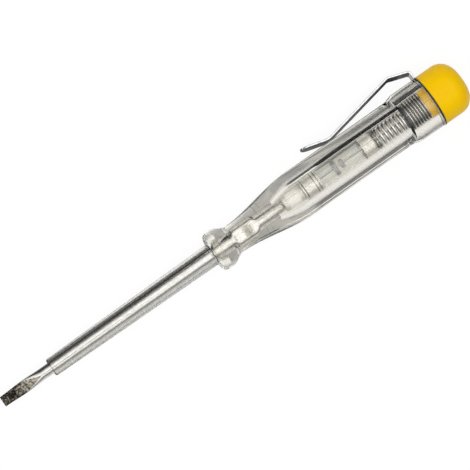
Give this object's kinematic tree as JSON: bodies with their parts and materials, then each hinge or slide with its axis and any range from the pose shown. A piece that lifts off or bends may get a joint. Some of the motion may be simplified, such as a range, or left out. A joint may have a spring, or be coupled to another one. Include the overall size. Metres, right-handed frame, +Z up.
{
  "type": "voltage tester screwdriver",
  "caption": "Small slotted screwdriver with a clear round handle, a neon test lamp, resistor and spring inside, a pocket clip and a screwed-on yellow contact cap.",
  "frame": {"origin": "middle of the blade's end face", "axes": "+X along the tool from the blade's tip to the cap; +Z up from the table the tool lies on, which touches the cap and the corner of the clip; the clip is on the +Y side, turned below the horizontal"},
  "size_m": [0.1404, 0.018, 0.0142],
  "materials": {
    "clear_handle": "clear moulded polycarbonate, polished, slightly warm grey",
    "clear_sleeve": "clear extruded plastic tube, polished",
    "blade_steel": "nickel-plated drawn rod, forged tip left darker and mottled",
    "resistor_ceramic": "lacquered ceramic",
    "pressed_nickel": "thin pressed sheet, nickel plated",
    "lamp_glass": "clear drawn glass tube",
    "electrode_nickel": "dull nickel",
    "spring_steel": "bright plated wire",
    "plated_brass": "nickel-plated turned brass",
    "clip_steel": "polished chrome plate on spring steel",
    "yellow_plastic": "moulded yellow plastic, semi-gloss"
  },
  "bodies": {
    "handle": {"handle": "clear_handle", "blade_sleeve": "clear_sleeve", "blade_shaft": "blade_steel", "resistor_body": "resistor_ceramic", "resistor_cap_front": "pressed_nickel", "resistor_cap_rear": "pressed_nickel", "lamp_glass": "lamp_glass", "lamp_electrode_front": "electrode_nickel", "lamp_electrode_rear": "electrode_nickel", "lamp_cap_front": "pressed_nickel", "lamp_cap_rear": "pressed_nickel", "contact_spring": "spring_steel"},
    "clip": {"clip_ring": "clip_steel"},
    "clip_arm": {"clip_arm": "clip_steel"},
    "cap": {"end_cap": "yellow_plastic", "contact_plug": "plated_brass"}
  },
  "joints": [
    {"name": "clip_slide", "type": "slide", "parent": "handle", "child": "clip", "axis": [1, 0, 0], "range_m": [0, 0.0045], "deforming": ["contact_spring"]},
    {"name": "cap_turn", "type": "hinge", "parent": "clip", "child": "cap", "pos_m": [0.1354, 0, 0], "axis": [1, 0, 0], "range_deg": [0, 2160]},
    {"name": "clip_flex", "type": "hinge", "parent": "clip", "child": "clip_arm", "pos_m": [0.13065, 0.00721, -0.00357], "axis": [0, -0.444, -0.896], "range_deg": [0, 5], "stiffness_Nm_per_rad": 0.5, "springref_deg": -1.72}
  ],
  "couplings": [
    {"joint": "cap_turn", "follows": "clip_slide", "rad_per_m": 8377.6}
  ]
}
